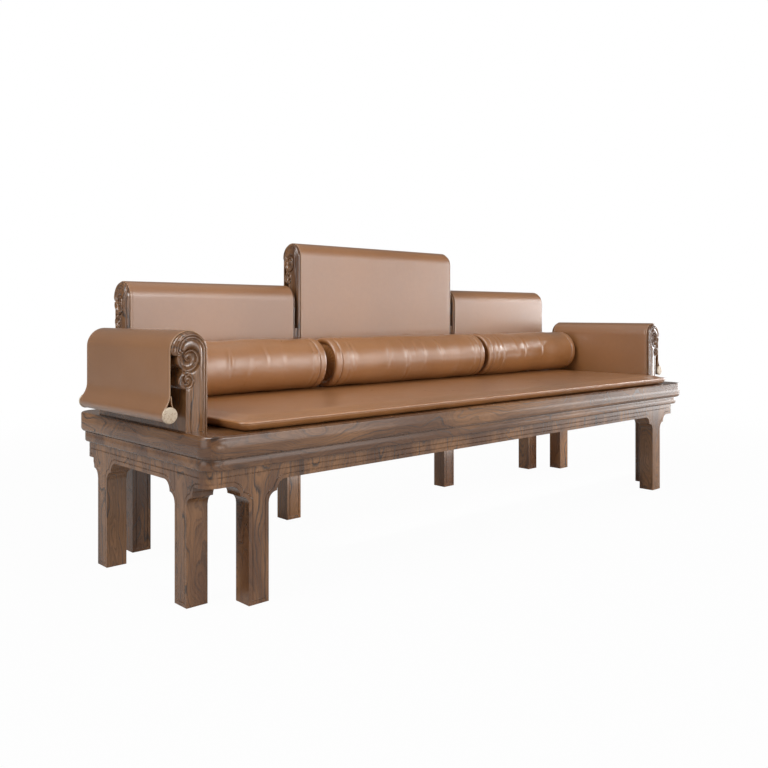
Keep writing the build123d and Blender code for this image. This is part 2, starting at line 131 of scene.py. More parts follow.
def calc(tree, operation, first, second=0.0):
    """One sum of a Math node."""
    return add_node(tree, "ShaderNodeMath", {0: first, 1: second}, operation=operation).outputs[0]


def times(tree, first, second):
    return calc(tree, "MULTIPLY", first, second)


def weigh(tree, first, first_share, second, second_share):
    """Two values added, each by its share."""
    first = times(tree, first, first_share)
    return calc(tree, "ADD", first, times(tree, second, second_share))


def vector_calc(tree, operation, first, second=(0, 0, 0)):
    node = add_node(tree, "ShaderNodeVectorMath", {0: first, 1: second}, operation=operation)
    return node.outputs["Value" if operation == "LENGTH" else "Vector"]


def blend_color(tree, factor, first, second, mode="MIX"):
    wiring = {0: factor, 6: first, 7: second}
    return add_node(tree, "ShaderNodeMix", wiring, data_type="RGBA", blend_type=mode).outputs[2]


def map_range(tree, value, low, high, to_low=0.0, to_high=1.0):
    wiring = {"Value": value, "From Min": low, "From Max": high, "To Min": to_low, "To Max": to_high}
    return add_node(tree, "ShaderNodeMapRange", wiring, interpolation_type="SMOOTHSTEP").outputs[0]


def noise_of(tree, vector, scale, detail=2.0, roughness=0.5):
    wiring = {"Vector": vector, "Scale": scale, "Detail": detail, "Roughness": roughness}
    return add_node(tree, "ShaderNodeTexNoise", wiring).outputs[0]


def wandered(tree, vector, cells, scale, reach):
    """A place moved by a slow wander of its own; reach is how far along each axis."""
    color = noise_of(tree, cells, scale).node.outputs["Color"]
    off = vector_calc(tree, "MULTIPLY", vector_calc(tree, "SUBTRACT", color, (0.5, 0.5, 0.5)), reach)
    return vector_calc(tree, "ADD", vector, off)


def new_group(name, inputs, outputs):
    """An empty node group; its inputs' defaults give their kinds, and None is a vector."""
    tree = bpy.data.node_groups.new(name, "ShaderNodeTree")
    for label, default in inputs.items():
        kind = "Vector" if default is None else "Float" if isinstance(default, float) else "Color"
        socket = tree.interface.new_socket(name=label, in_out="INPUT", socket_type=f"NodeSocket{kind}")
        if default is not None:
            socket.default_value = default
    for label, kind in outputs.items():
        tree.interface.new_socket(name=label, in_out="OUTPUT", socket_type=f"NodeSocket{kind}")
    return tree, tree.nodes.new("NodeGroupInput").outputs, tree.nodes.new("NodeGroupOutput").inputs


def close_group(tree, outputs, results):
    for name, socket in results.items():
        tree.links.new(socket, outputs[name])
    return tree


WALNUT_TONES = {
    "Dark": (0.018, 0.008, 0.004, 1),
    "Middle": (0.114, 0.048, 0.019, 1),
    "Light": (0.240, 0.112, 0.044, 1),
}


def walnut_figure_group():
    """Growth rings cut through at a slant, fibres and pores, with the grain along Z."""
    inputs = {"Vector": None, "Ring spacing": 0.0095, **WALNUT_TONES}
    outputs = {"Color": "Color", "Height": "Float", "Polish": "Float"}
    tree, given, result = new_group("walnut figure", inputs, outputs)
    place = given["Vector"]

    def stretched(vector, across, along):
        return vector_calc(tree, "MULTIPLY", vector, (across, across, along))

    bent = wandered(tree, place, stretched(place, 16.0, 5.0), 1.0, (0.034, 0.034, 0.0))
    bent = wandered(tree, bent, stretched(place, 60.0, 17.0), 1.0, (0.008, 0.008, 0.0))
    slanted = stretched(vector_calc(tree, "ADD", bent, (0.013, -0.021, 0.0)), 0.8, 0.06)
    flame = noise_of(tree, stretched(bent, 10.0, 3.0), 1.0, 2.0, 0.45)
    reach = calc(tree, "ADD", vector_calc(tree, "LENGTH", slanted), times(tree, flame, 0.21))
    turns = calc(tree, "DIVIDE", reach, given["Ring spacing"])
    fibre = noise_of(tree, stretched(place, 560.0, 14.0), 1.0, 4.0, 0.6)
    turns = calc(tree, "ADD", turns, times(tree, fibre, 0.30))

    def ring_lines(rate, start, strongest):
        """Dark late wood at the end of each year, some years stronger than others."""
        count = times(tree, turns, rate)
        wiring = {"W": calc(tree, "FLOOR", count)}
        year = add_node(tree, "ShaderNodeTexWhiteNoise", wiring, noise_dimensions="1D").outputs["Value"]
        part = calc(tree, "FRACT", count)
        rise, fall = map_range(tree, part, start, 0.90), map_range(tree, part, 0.92, 1.0, 1.0, 0.0)
        strength = map_range(tree, year, 0.1, 0.8, 0.3 * strongest, strongest)
        return times(tree, times(tree, rise, fall), strength)

    cloud = noise_of(tree, stretched(place, 12.0, 3.0), 1.0, 3.0, 0.55)
    streak = noise_of(tree, stretched(bent, 150.0, 6.0), 1.0, 3.0, 0.6)
    pore = map_range(tree, noise_of(tree, stretched(place, 1700.0, 70.0), 1.0, 1.0), 0.66, 0.78)
    dark = calc(tree, "MAXIMUM", ring_lines(1.0, 0.55, 1.0), ring_lines(3.0, 0.40, 0.45))
    dark = times(tree, dark, map_range(tree, cloud, 0.34, 0.58, 0.7, 1.0))
    dark = calc(tree, "MAXIMUM", dark, map_range(tree, streak, 0.60, 0.78, 0.0, 0.45))
    wash = weigh(tree, cloud, 0.6, flame, 0.4)
    body = blend_color(tree, map_range(tree, wash, 0.41, 0.59), given["Middle"], given["Light"])
    body = blend_color(tree, times(tree, dark, 0.94), body, given["Dark"])
    fibre_shade = map_range(tree, fibre, 0.25, 0.75, 0.84, 1.14)
    shade = add_node(tree, "ShaderNodeCombineColor", {channel: fibre_shade for channel in range(3)})
    body = blend_color(tree, 1.0, body, shade.outputs[0], "MULTIPLY")
    body = blend_color(tree, times(tree, pore, 0.5), body, given["Dark"])
    height = weigh(tree, fibre, 0.35, pore, -0.65)
    polish = weigh(tree, dark, 0.5, fibre, 0.5)
    return close_group(tree, result, {"Color": body, "Height": height, "Polish": polish})


def hide_grain_group():
    """Fine pebbled grain with its creases, and the slow change of tone of dyed hide."""
    tree, given, result = new_group(
        "hide grain",
        {"Vector": None, "Pebble size": 0.0016},
        {"Tone": "Float", "Height": "Float", "Wear": "Float"},
    )
    crowd = calc(tree, "DIVIDE", 1.0, given["Pebble size"])
    moved = wandered(tree, given["Vector"], given["Vector"], 240.0, (0.0016,) * 3)
    pebbles = add_node(
        tree, "ShaderNodeTexVoronoi", {"Vector": moved, "Scale": crowd}, feature="DISTANCE_TO_EDGE"
    )
    dome = map_range(tree, pebbles.outputs["Distance"], 0.0, 0.22)
    fine = noise_of(tree, given["Vector"], 1400.0, 2.0)
    height = calc(tree, "ADD", dome, times(tree, fine, 0.3))
    slow = noise_of(tree, given["Vector"], 3.0, 3.0, 0.45)
    spots = noise_of(tree, given["Vector"], 70.0, 3.0, 0.6)
    tone = weigh(tree, slow, 0.75, spots, 0.25)
    wear = map_range(tree, noise_of(tree, given["Vector"], 17.0, 5.0, 0.65), 0.45, 0.75)
    return close_group(tree, result, {"Tone": tone, "Height": height, "Wear": wear})


def start_material(name):
    """A material with its Principled shader and object coordinates."""
    material = bpy.data.materials.new(name)
    material.use_nodes = True
    tree = material.node_tree
    shader = tree.nodes["Principled BSDF"]
    place = tree.nodes.new("ShaderNodeTexCoord").outputs["Object"]
    return material, tree, shader, place


def use_group(tree, group, wiring):
    return add_node(tree, "ShaderNodeGroup", wiring, node_tree=group).outputs


def bumped(tree, height, distance, strength=1.0, over=None):
    """The normal of some relief; over is the relief it lies on, if there is one."""
    wiring = {"Height": height, "Distance": distance, "Strength": strength}
    if over is not None:
        wiring["Normal"] = over
    return add_node(tree, "ShaderNodeBump", wiring).outputs["Normal"]


# The frame's and the waist's swelled mouldings: bottom, top and how strongly they swell
SWELLED_BANDS = [(0.370, 0.412, 0.0092), (0.337, 0.358, 0.0038)]
SWELL_FULLEST = 0.35


def swelled_rails_group():
    """Relief that makes the frame's and the waist's plain faces softly swelled mouldings."""
    tree, given, result = new_group("swelled rails", {"Vector": None}, {"Normal": "Vector"})
    level = add_node(tree, "ShaderNodeSeparateXYZ", {0: given["Vector"]}).outputs["Z"]
    bands = []
    for bottom, top, swell in SWELLED_BANDS:
        off = calc(tree, "SUBTRACT", map_range(tree, level, bottom, top), SWELL_FULLEST)
        bands.append(times(tree, times(tree, off, off), swell))
    outline = times(tree, calc(tree, "ADD", *bands), -1.0)
    return close_group(tree, result, {"Normal": bumped(tree, outline, 1.0)})


walnut_figure = walnut_figure_group()
swelled_rails = swelled_rails_group()
hide_grain = hide_grain_group()
GRAIN_ORDER = {"X": "YZX", "Y": "ZXY", "Z": "XYZ"}


def walnut(name, grain, shift=(0.0, 0.0, 0.0), rails=None):
    """Polished walnut with its grain along one axis."""
    material, tree, shader, place = start_material(name)
    moved = vector_calc(tree, "ADD", place, shift)
    split = add_node(tree, "ShaderNodeSeparateXYZ", {0: moved})
    order = {i: split.outputs[axis] for i, axis in enumerate(GRAIN_ORDER[grain])}
    turned_place = add_node(tree, "ShaderNodeCombineXYZ", order).outputs[0]
    figure = use_group(tree, walnut_figure, {"Vector": turned_place})
    over = use_group(tree, rails, {"Vector": place})["Normal"] if rails else None
    finish = {
        "Base Color": figure["Color"],
        "Roughness": map_range(tree, figure["Polish"], 0.1, 0.8, 0.22, 0.31),
        "Coat Weight": 0.5,
        "Coat Roughness": 0.17,
        "Normal": bumped(tree, figure["Height"], 0.00012, 0.35, over),
    }
    wire(tree, shader, finish)
    return material


def hide(name, dark, light, roughness, pebble, coat):
    """Cognac hide: pebbled, a little darker in places, with a waxed sheen."""
    material, tree, shader, place = start_material(name)
    grain = use_group(tree, hide_grain, {"Vector": place, "Pebble size": pebble})
    finish = {
        "Base Color": blend_color(tree, map_range(tree, grain["Tone"], 0.30, 0.70), dark, light),
        "Roughness": map_range(tree, grain["Wear"], 0.0, 1.0, roughness, roughness - 0.07),
        "Specular IOR Level": 1.0,
        "Coat Weight": coat,
        "Coat Roughness": 0.31,
        "Normal": bumped(tree, grain["Height"], 0.00022, 0.45),
    }
    wire(tree, shader, finish)
    return material


def raw_edge(name):
    """The cut edge of hide: pale, fibrous and dull."""
    material, tree, shader, place = start_material(name)
    fibres = noise_of(tree, place, 900.0, 4.0, 0.7)
    color = blend_color(tree, map_range(tree, fibres, 0.3, 0.7), (0.30, 0.17, 0.09, 1), (0.50, 0.34, 0.22, 1))
    wire(tree, shader, {"Base Color": color, "Roughness": 0.8, "Normal": bumped(tree, fibres, 0.0003)})
    return material


def waxed_thread(name):
    """Twisted waxed thread."""
    material, tree, shader, place = start_material(name)
    twist = noise_of(tree, place, 1500.0, 2.0)
    color = blend_color(tree, twist, (0.20, 0.10, 0.05, 1), (0.40, 0.23, 0.12, 1))
    wire(tree, shader, {"Base Color": color, "Roughness": 0.55, "Normal": bumped(tree, twist, 0.0002)})
    return material


def flecked_bone(name):
    """Cream bone with tan flecks and a soft polish."""
    material, tree, shader, place = start_material(name)
    flecks = map_range(tree, noise_of(tree, place, 240.0, 4.0, 0.7), 0.50, 0.60)
    color = blend_color(tree, noise_of(tree, place, 60.0, 3.0), (0.46, 0.36, 0.25, 1), (0.62, 0.52, 0.40, 1))
    color = blend_color(tree, times(tree, flecks, 0.7), color, (0.30, 0.18, 0.10, 1))
    rough = map_range(tree, flecks, 0.0, 1.0, 0.38, 0.55)
    wire(tree, shader, {"Base Color": color, "Roughness": rough, "Normal": bumped(tree, flecks, 0.0003, 0.6)})
    return material


wood = {
    "X": walnut("walnut along the bed", "X", (0.3, 0.05, 0.02), swelled_rails),
    "Y": walnut("walnut across the bed", "Y", (0.1, 0.2, 0.01), swelled_rails),
    "Z": walnut("upright walnut", "Z"),
}
# Dark and light tones, roughness, size of a pebble and strength of the wax
hide_cover = hide("draped hide", (0.240, 0.096, 0.026, 1), (0.293, 0.119, 0.032, 1), 0.38, 0.0016, 1.0)
hide_soft = hide("cushion hide", (0.285, 0.115, 0.033, 1), (0.352, 0.146, 0.042, 1), 0.34, 0.0018, 0.9)
hide_cut = raw_edge("cut hide edge")
thread = waxed_thread("waxed thread")
bone = flecked_bone("flecked bone")


# ---- mesh helpers
def add_object(name, data):
    item = bpy.data.objects.new(name, data)
    bpy.context.scene.collection.objects.link(item)
    return item


def mesh_piece(name, points, faces, materials, smooth_angle=40.0, tidy=True):
    """A mesh object from points and faces, shaded smooth up to an angle."""
    mesh = bpy.data.meshes.new(name)
    mesh.from_pydata([tuple(point) for point in points], [], faces)
    if tidy:
        work = bmesh.new()
        work.from_mesh(mesh)
        bmesh.ops.recalc_face_normals(work, faces=work.faces)
        work.to_mesh(mesh)
        work.free()
    mesh.polygons.foreach_set("use_smooth", [True] * len(mesh.polygons))
    mesh.set_sharp_from_angle(angle=math.radians(smooth_angle))
    piece = add_object(name, mesh)
    for material in materials:
        mesh.materials.append(material)
    return piece


def add_row(points, row):
    """Add a row of points to the others; gives their numbers."""
    points += row
    return list(range(len(points) - len(row), len(points)))


def join_rows(first, second):
    """Quads between two closed rows of points."""
    count = len(first)
    return [(first[i], first[(i + 1) % count], second[(i + 1) % count], second[i]) for i in range(count)]


def join_strips(first, second):
    """Quads between two open rows of points."""
    return [(first[i], second[i], second[i + 1], first[i + 1]) for i in range(len(first) - 1)]


def join_sections(rows):
    """Faces along a row of closed sections; a section of one point closes its end."""
    faces = []
    for a, b in zip(rows, rows[1:]):
        count = max(len(a), len(b))
        if len(a) == 1:
            faces += [(a[0], b[(i + 1) % count], b[i]) for i in range(count)]
        elif len(b) == 1:
            faces += [(a[i], a[(i + 1) % count], b[0]) for i in range(count)]
        else:
            faces += join_rows(a, b)
    return faces


def arc(centre, radius, start, stop, count):
    """Points on an arc, angles in degrees, both ends included."""
    angles = np.radians(np.linspace(start, stop, count))
    return [(centre[0] + radius * math.cos(a), centre[1] + radius * math.sin(a)) for a in angles]


def smooth_path(points, steps=8):
    """A smooth curve through points, as many short steps."""
    padded = [points[0], *points, points[-1]]
    path = []
    for a, b, c, d in zip(padded, padded[1:], padded[2:], padded[3:]):
        a, b, c, d = (np.array(p, float) for p in (a, b, c, d))
        for step in range(steps):
            t = step / steps
            square, cube = (2 * a - 5 * b + 4 * c - d) * t**2, (3 * b - a - 3 * c + d) * t**3
            path.append(0.5 * (2 * b + (c - a) * t + square + cube))
    path.append(np.array(points[-1], float))
    return np.array(path)


def inside(border, places):
    """Which places lie inside a closed border."""
    found = np.zeros(len(places), bool)
    for (x0, y0), (x1, y1) in zip(border, np.roll(border, -1, axis=0)):
        if y0 != y1:
            crosses = (y0 > places[:, 1]) != (y1 > places[:, 1])
            found ^= crosses & (places[:, 0] < (x1 - x0) * (places[:, 1] - y0) / (y1 - y0) + x0)
    return found


def nearest(path, places):
    """How far each place is from a path of short steps, and how far along it."""
    best, along = np.full(len(places), 1e9), np.zeros(len(places))
    for index, (start, stop) in enumerate(zip(path, path[1:])):
        step = stop - start
        share = np.clip(((places - start) @ step) / max(step @ step, 1e-9), 0, 1)
        away = np.linalg.norm(places - (start + share[:, None] * step), axis=1)
        closer = away < best
        best[closer] = away[closer]
        along[closer] = (index + share[closer]) / (len(path) - 1)
    return best, along


def distance_to(path, places):
    return nearest(path, places)[0]


def ease(value, low, high):
    t = np.clip((value - low) / (high - low), 0, 1)
    return t * t * (3 - 2 * t)


# ---- boards
class Board:
    """An arm or a back screen, with its place taken from the frame; sizes in millimetres."""

    def __init__(self, name, outward, along, posts):
        self.name = name
        self.hanging = f"{name}_hanging"
        self.outward = Vector(outward)
        self.along = Vector(along)
        self.posts = posts
        low, high = corners_of(f"{name}_panel")
        spans = [corner.dot(self.along) for post in posts for corner in corners_of(post)]
        face = min(low.dot(self.outward), high.dot(self.outward))
        self.length = (max(spans) - min(spans)) / MM
        self.height = (high.z - low.z) / MM
        self.origin = self.outward * face + self.along * min(spans) + UP * low.z

    def at(self, reach, place, height):
        """A point outward from the inner face, along the board and up from the deck."""
        return self.origin + self.outward * (reach * MM) + self.along * (place * MM) + UP * (height * MM)


boards = [
    Board(name, (way, 0, 0), (0, 1, 0), [f"{name}_front_post", f"{name}_back_post"])
    for name, way in (("arm_left", -1), ("arm_right", 1))
]
for name in ("back_left", "back_centre", "back_right"):
    boards.append(Board(name, (0, 1, 0), (1, 0, 0), [f"{name}_posts"]))


# ---- carved posts
def rows_below(height):
    """Heights of the plain part's rows, down to just above its foot."""
    return np.linspace(FINE_DEPTH, height, max(int((height - FINE_DEPTH) / 7.0), 3))[1:-1]


def post_outline(shape, height):
    """The outline of a post's section, from the foot of its inner edge and round the scroll."""
    reach, radius = shape["arch"]
    inner, outer = shape["inner"], shape["outer"]
    down = list(rows_below(height))[::-1] + list(np.arange(FINE_DEPTH, ARCH_DOWN, -2.4))
    foot = [(inner + (outer - inner) * share, height) for share in np.linspace(1, 0, FOOT_POINTS)]
    points = foot + [(inner, t) for t in down]
    points += arc((reach, ARCH_DOWN), radius, 180, 360, 64)
    curl = shape["curl"]
    points += arc((reach + radius - curl, ARCH_DOWN), curl, 6, 78, 9)
    points.append(shape["notch"])
    points += arc(BIG_VOLUTE, shape["big"], -14, 56, 18)
    points.append((66.6 - (BIG_VOLUTE[0] - shape["big"] - 27.5) * 0.4, 92.4))
    points += arc(SMALL_VOLUTE, shape["small"], -52, 92, 28)
    points.append((outer, SMALL_VOLUTE[1] + shape["small"] + 1.2))
    points += [(outer, t) for t in reversed(down) if t > SMALL_VOLUTE[1] + BODY["small"] + 1.5]
    return points


def roll_height(points, places, halves, dip, flute):
    """A fluted roll along a line, narrowing to its end: its height and its clear distance."""
    path = smooth_path(points)
    away, share = nearest(path, places)
    half = halves[0] + (halves[1] - halves[0]) * share
    across = away / half
    crown = np.sqrt(np.clip(1 - ((across - 0.62) / 0.38) ** 2, 0, 1))
    crown = np.where(across < 0.62, 1 - flute * (1 - (across / 0.62) ** 2), crown)
    return np.where(across < 1, dip * (crown - 1), -dip), np.clip(away - half, 0, None)


def bead(place, middle, half):
    """The height of a round bead of height 1, across its middle line."""
    return np.sqrt(np.clip(1 - ((place - middle) / half) ** 2, 0, 1))


def carved_depth(places, rim, volute_edge):
    """How far the carving stands out of the post's face at each place, in millimetres."""
    s, t = places[:, 0], places[:, 1]
    edge = distance_to(rim, places)
    big_roll, off_big = roll_height(BIG_ROLL, places, (4.6, 2.6), 5.4, 0.34)
    small_roll, off_small = roll_height(SMALL_ROLL, places, (4.0, 2.2), 4.4, 0.30)
    lip = distance_to(volute_edge, places)
    foot = ease(t, 62.0, 165.0)
    in_small = 1 - ease(np.hypot(s - 56.0, t - 116.6), 18.6, 21.0)
    within = inside(np.array(BIG_ROLL[:13]), places)

    # The ground: swelled between the rim and the rolls, a hollow shaft below, a dish in the roll
    near = np.clip(edge - 12.4, 0, None)
    wide = np.maximum(near + off_big, 0.01)
    part = near / wide
    swell = np.where(part < 0.6, 1 - ((0.6 - part) / 0.6) ** 2, 1 - 1.75 * ((part - 0.6) / 0.4) ** 2)
    swell = -2.6 + np.minimum(4.2, 0.42 * wide) * swell
    belly = -2.0 + 2.6 * (1 - np.clip(((s - 29.5) / 17.0) ** 2, 0, 1))
    ground = swell * (1 - foot) + belly * foot
    dish = -2.2 - 4.4 * (1 - np.exp(-off_big / 3.0))
    ground = np.where(within, dish, ground)
    depth = np.maximum(ground, np.where(off_big <= 0, big_roll + 0.9, -99.0))

    # The small volute's own dish and roll, and the lip where the scroll ends
    bud = -1.4 - 4.0 * (1 - np.exp(-off_small / 1.8))
    bud = np.maximum(bud, np.where(off_small <= 0, small_roll + 0.9, -99.0))
    depth = depth * (1 - in_small) + bud * in_small
    depth = np.where((lip < 3.0) & (t < 94), np.maximum(depth, -2.4 + 1.2 * (3.0 - lip) / 3.0), depth)

    # The rim's two beads, which run out at the scroll's end
    fading = ease(t, 47.0, 56.0) * ease(s, 56.0, 62.0)
    rim_height = -3.0 + 3.6 * bead(edge, 2.7, 2.9) + 3.4 * bead(edge, 9.0, 3.3)
    rimmed = np.where(edge < 9.0, rim_height, np.where(edge < 12.6, np.maximum(rim_height, depth), depth))
    depth = rimmed * (1 - fading) + depth * fading

    # The bead along the shaft's outer edge
    below = ease(t, 137.0, 141.0)
    depth = depth - 1.3 * np.exp(-(((s - 44.6) / 1.1) ** 2)) * below
    depth = depth + (1.9 * bead(s, 49.4, 4.2) - 0.6) * below * ease(s, 44.6, 46.0)
    return np.maximum(depth, -7.5) - 0.4


def face_mesh(height):
    """The carved face as points in the section and triangles, with its border first."""
    outline = post_outline(FACE, height)
    border = np.array(outline)
    past_arch = (border[:, 0] > FACE["arch"][0]) & (border[:, 1] > ARCH_DOWN + 2)
    curl_end = FOOT_POINTS + int(np.argmax(past_arch[FOOT_POINTS:])) + 8
    volute_end = curl_end + int(np.argmax(border[curl_end:, 0] == FACE["outer"]))
    rim, volute_edge = border[FOOT_POINTS - 1 : curl_end], border[curl_end:volute_end]
    fine_rows = np.arange(5.0, FINE_DEPTH + 0.1, FACE_GRID)
    fine = [(s, t) for t in fine_rows for s in np.arange(1.8, 84.0, FACE_GRID)]
    coarse = [(s, t) for t in rows_below(height) for s in np.arange(1.8, FACE["outer"] - 0.6, FACE_GRID)]
    places = np.array(fine + coarse)
    clear = distance_to(np.vstack([border, border[:1]]), places) > 0.75
    places = places[inside(border, places) & clear]
    points = [Vector(p) for p in outline] + [Vector(p) for p in places]
    ring = list(range(len(outline)))
    found = geometry.delaunay_2d_cdt(points, [], [ring], 1, 1e-4)
    flat, triangles, origins = found[0], found[2], found[3]
    order = {}
    for new, sources in enumerate(origins):
        for source in sources:
            order.setdefault(source, new)
    flat = np.array([tuple(p) for p in flat])
    return flat, triangles, [order[i] for i in ring], carved_depth(flat, rim, volute_edge)


def carve_post(board, end, cache={}):
    """Points and faces of one post; end 0 faces back along the board and end 1 forward."""
    key = round(board.height, 2)
    if key not in cache:
        cache[key] = face_mesh(board.height)
    flat, triangles, ring, relief = cache[key]
    facing = 1 if end else -1
    face_place = board.length if end else 0.0

    def point(s, t, out):
        return board.at(s, face_place + facing * out, board.height - t)

    points = [point(s, t, out) for (s, t), out in zip(flat, relief)]
    faces = [tuple(triangle) for triangle in triangles]
    body = post_outline(BODY, board.height)
    previous = ring
    for turn in np.radians((15, 32, 50, 70, 90)):
        row = []
        for index, (bs, bt) in zip(ring, body):
            fs, ft = flat[index]
            drop = min(max(math.hypot(bs - fs, bt - ft), 2.2), 9.0)
            out = relief[index] - (drop + relief[index] + 1.9) * (1 - math.cos(turn))
            row.append(point(fs + (bs - fs) * math.sin(turn), ft + (bt - ft) * math.sin(turn), out))
        row = add_row(points, row)
        faces += join_rows(previous, row)
        previous = row
    back = add_row(points, [point(s, t, -POST_LENGTH) for s, t in body])
    faces += join_rows(previous, back)
    faces.append(tuple(reversed(back)))
    return points, faces


def make_posts(board):
    """The board's two carved posts, one piece for each node that they stand for."""
    groups = [(0,), (1,)] if len(board.posts) == 2 else [(0, 1)]
    for node, ends in zip(board.posts, groups):
        points, faces = [], []
        for end in ends:
            more_points, more_faces = carve_post(board, end)
            start = len(points)
            points += more_points
            faces += [tuple(start + i for i in face) for face in more_faces]
        piece = mesh_piece(f"carved_{node}", points, faces, [wood["Z"]], 50.0)
        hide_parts(node)
        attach(piece, board.name)


# ---- draped hides
def bezier(a, b, c, d, count):
    """Points on a curve from a to d, without its first."""
    a, b, c, d = (np.array(p) for p in (a, b, c, d))
    rows = []
    for t in np.linspace(0, 1, count)[1:]:
        u = 1 - t
        rows.append(tuple(u**3 * a + 3 * u * u * t * b + 3 * u * t * t * c + t**3 * d))
    return rows


def hide_path(height):
    """The middle of the hide's thickness: up the face, over the scroll, down round the roller.

    Points are (outward, up from the deck) in millimetres."""
    half = HIDE / 2
    skin = HIDE_CLEARANCE + half
    arch_foot = height - SCROLL_RADIUS
    hang, roller = HIDE_HANG, (ROLLER_OUT, ROLLER_HEIGHT)
    wrap = ROLLER_RADIUS + half
    path = [(-skin, z) for z in np.linspace(HIDE_FOOT, arch_foot, max(int(arch_foot / 9), 12))[:-1]]
    path += arc((SCROLL_RADIUS, arch_foot), SCROLL_RADIUS + skin, 180, 0, 40)
    flare_top = ROLLER_HEIGHT + LOOP_LENGTH + 17
    steps = max(int((arch_foot - flare_top) / 9), 5)
    path += [(hang, z) for z in np.linspace(arch_foot, flare_top, steps)[1:]]
    on = arc(roller, wrap, 28, 28, 1)[0]
    path += bezier(path[-1], (hang, flare_top - 24), (on[0] - 6.5, on[1] + 12.5), on, 14)
    path += arc(roller, wrap, 28, -208, 40)[1:]
    last = path[-1]
    join = (hang - HIDE - 0.1, ROLLER_HEIGHT + LOOP_LENGTH + 2)
    path += bezier(last, (last[0] + 3.0, last[1] + 6.0), (join[0], join[1] - 14), join, 9)
    path.append((join[0], join[1] + 7))
    return np.array(path)


def side_of(path):
    """The direction across each point of a path, to its outer side."""
    steps = np.gradient(path, axis=0)
    steps /= np.linalg.norm(steps, axis=1)[:, None]
    return np.stack([-steps[:, 1], steps[:, 0]], axis=1)


def edge_stations(length):
    """Where the hide's sections stand, close together at its edges and hems."""
    near = [0.0, 0.35, 1.0, 2.0, 4.0, HEM - 2.2, HEM - 0.9, HEM, HEM + 0.9, HEM + 2.2, HEM + 5, HEM + 10]
    middle = np.linspace(HEM + 20, length - HEM - 20, max(int(length / 14), 8))
    return np.array(near + list(middle) + [length - p for p in reversed(near)])


def edge_gap(place, length):
    return min(place, length - place)


def ripple(place, up, seed):
    """A slow unevenness of hanging hide, in millimetres."""
    slow = 0.55 * math.sin(place * 0.017 + up * 0.011 + seed)
    return slow + 0.35 * math.sin(place * 0.041 - up * 0.02 + 2 * seed)


def make_hide(board, seed):
    """One hide, from the deck over the scroll to its loop round the roller, and its stitches."""
    length = board.length - 2 * HIDE_MARGIN
    path = hide_path(board.height)
    across = side_of(path)
    run = np.concatenate([[0], np.cumsum(np.linalg.norm(np.diff(path, axis=0), axis=1))])
    arch_foot = board.height - SCROLL_RADIUS
    loop_start = ROLLER_HEIGHT + LOOP_LENGTH
    points, rows = [], []
    for place in edge_stations(length):
        gap = edge_gap(place, length)
        inner = HIDE / 2 * min(1.0, 0.55 + 0.45 * math.sqrt(min(gap, 1.0)))
        outer = inner - 0.55 * math.exp(-((gap - HEM) ** 2))
        outer_row, inner_row = [], []
        for (s, z), (ns, nz) in zip(path, across):
            hanging = ease(arch_foot - z, 0, 60) if s > SCROLL_RADIUS else 0
            sway = ripple(place, z, seed) * hanging * float(ease(z, loop_start - 20, loop_start + 60))
            outer_row.append((s + ns * outer + sway, z + nz * outer))
            inner_row.append((s - ns * inner + sway, z - nz * inner))
        ring = outer_row + inner_row[::-1]
        rows.append(add_row(points, [board.at(s, HIDE_MARGIN + place, z) for s, z in ring]))
    faces = join_sections(rows)
    count = len(path)
    sides = []
    for row, flip in ((rows[0], False), (rows[-1], True)):
        for i in range(count - 1):
            quad = (row[i], row[i + 1], row[2 * count - 2 - i], row[2 * count - 1 - i])
            sides.append(tuple(reversed(quad)) if flip else quad)
    piece = mesh_piece(f"{board.name}_hide", points, faces + sides, [hide_cover, hide_cut], 55.0)
    # The cut edges: both sides and the two ends of the run
    for index, polygon in enumerate(piece.data.polygons):
        if index >= len(faces) or index % (2 * count) in (count - 1, 2 * count - 1):
            polygon.material_index = 1
    stitches = make_stitches(board, path, across, run, length)
    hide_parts(f"{board.name}_cover", f"{board.name}_flap")
    # The bend's top and end, leaning outward as it falls; nothing uses them
    lean = 0.9 * 2 * SCROLL_RADIUS / arch_foot
    reach = BEND_LENGTH * lean / (1 + lean * lean)
    bend_top = board.at(HIDE_HANG, 0, arch_foot)
    bend_end = board.at(HIDE_HANG + reach, 0, arch_foot - reach * lean)
    for part in (piece, stitches):
        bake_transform(part)


STITCH_PITCH = 5.2
STITCH_LENGTH = 3.6
STITCH_RADIUS = 0.42


def make_stitches(board, path, across, run, length):
    """Rows of single stitches sunk in the hem grooves along both edges."""
    points, faces = [], []
    for place in (HEM, length - HEM):
        for middle in np.arange(6.0, run[-1] - 8.0, STITCH_PITCH):
            rings = []
            for along, lift in ((-0.5, -0.35), (0.0, 0.28), (0.5, -0.35)):
                where = middle + along * STITCH_LENGTH
                spot = [np.interp(where, run, path[:, k]) for k in (0, 1)]
                normal = [np.interp(where, run, across[:, k]) for k in (0, 1)]
                ring = []
                for turn in np.arange(6) * math.tau / 6:
                    rise = HIDE / 2 - 0.45 + lift + STITCH_RADIUS * math.sin(turn)
                    s, z = (spot[k] + normal[k] * rise for k in (0, 1))
                    ring.append(board.at(s, HIDE_MARGIN + place + STITCH_RADIUS * math.cos(turn), z))
                rings.append(add_row(points, ring))
            faces += join_sections(rings) + [tuple(reversed(rings[0])), tuple(rings[2])]
    return mesh_piece(f"{board.name}_stitches", points, faces, [thread], 60.0)


# (out from the cap's inner face, radius)
CAP_PROFILE = [
    (-1.5, 0.0), (-1.5, 17.6), (-0.9, 18.9), (0.2, 19.5), (1.6, 19.5), (2.9, 19.0), (3.8, 17.8),
    (4.3, 16.0), (4.5, 13.4), (4.5, 9.0), (4.5, 4.0), (4.5, 0.0),
]


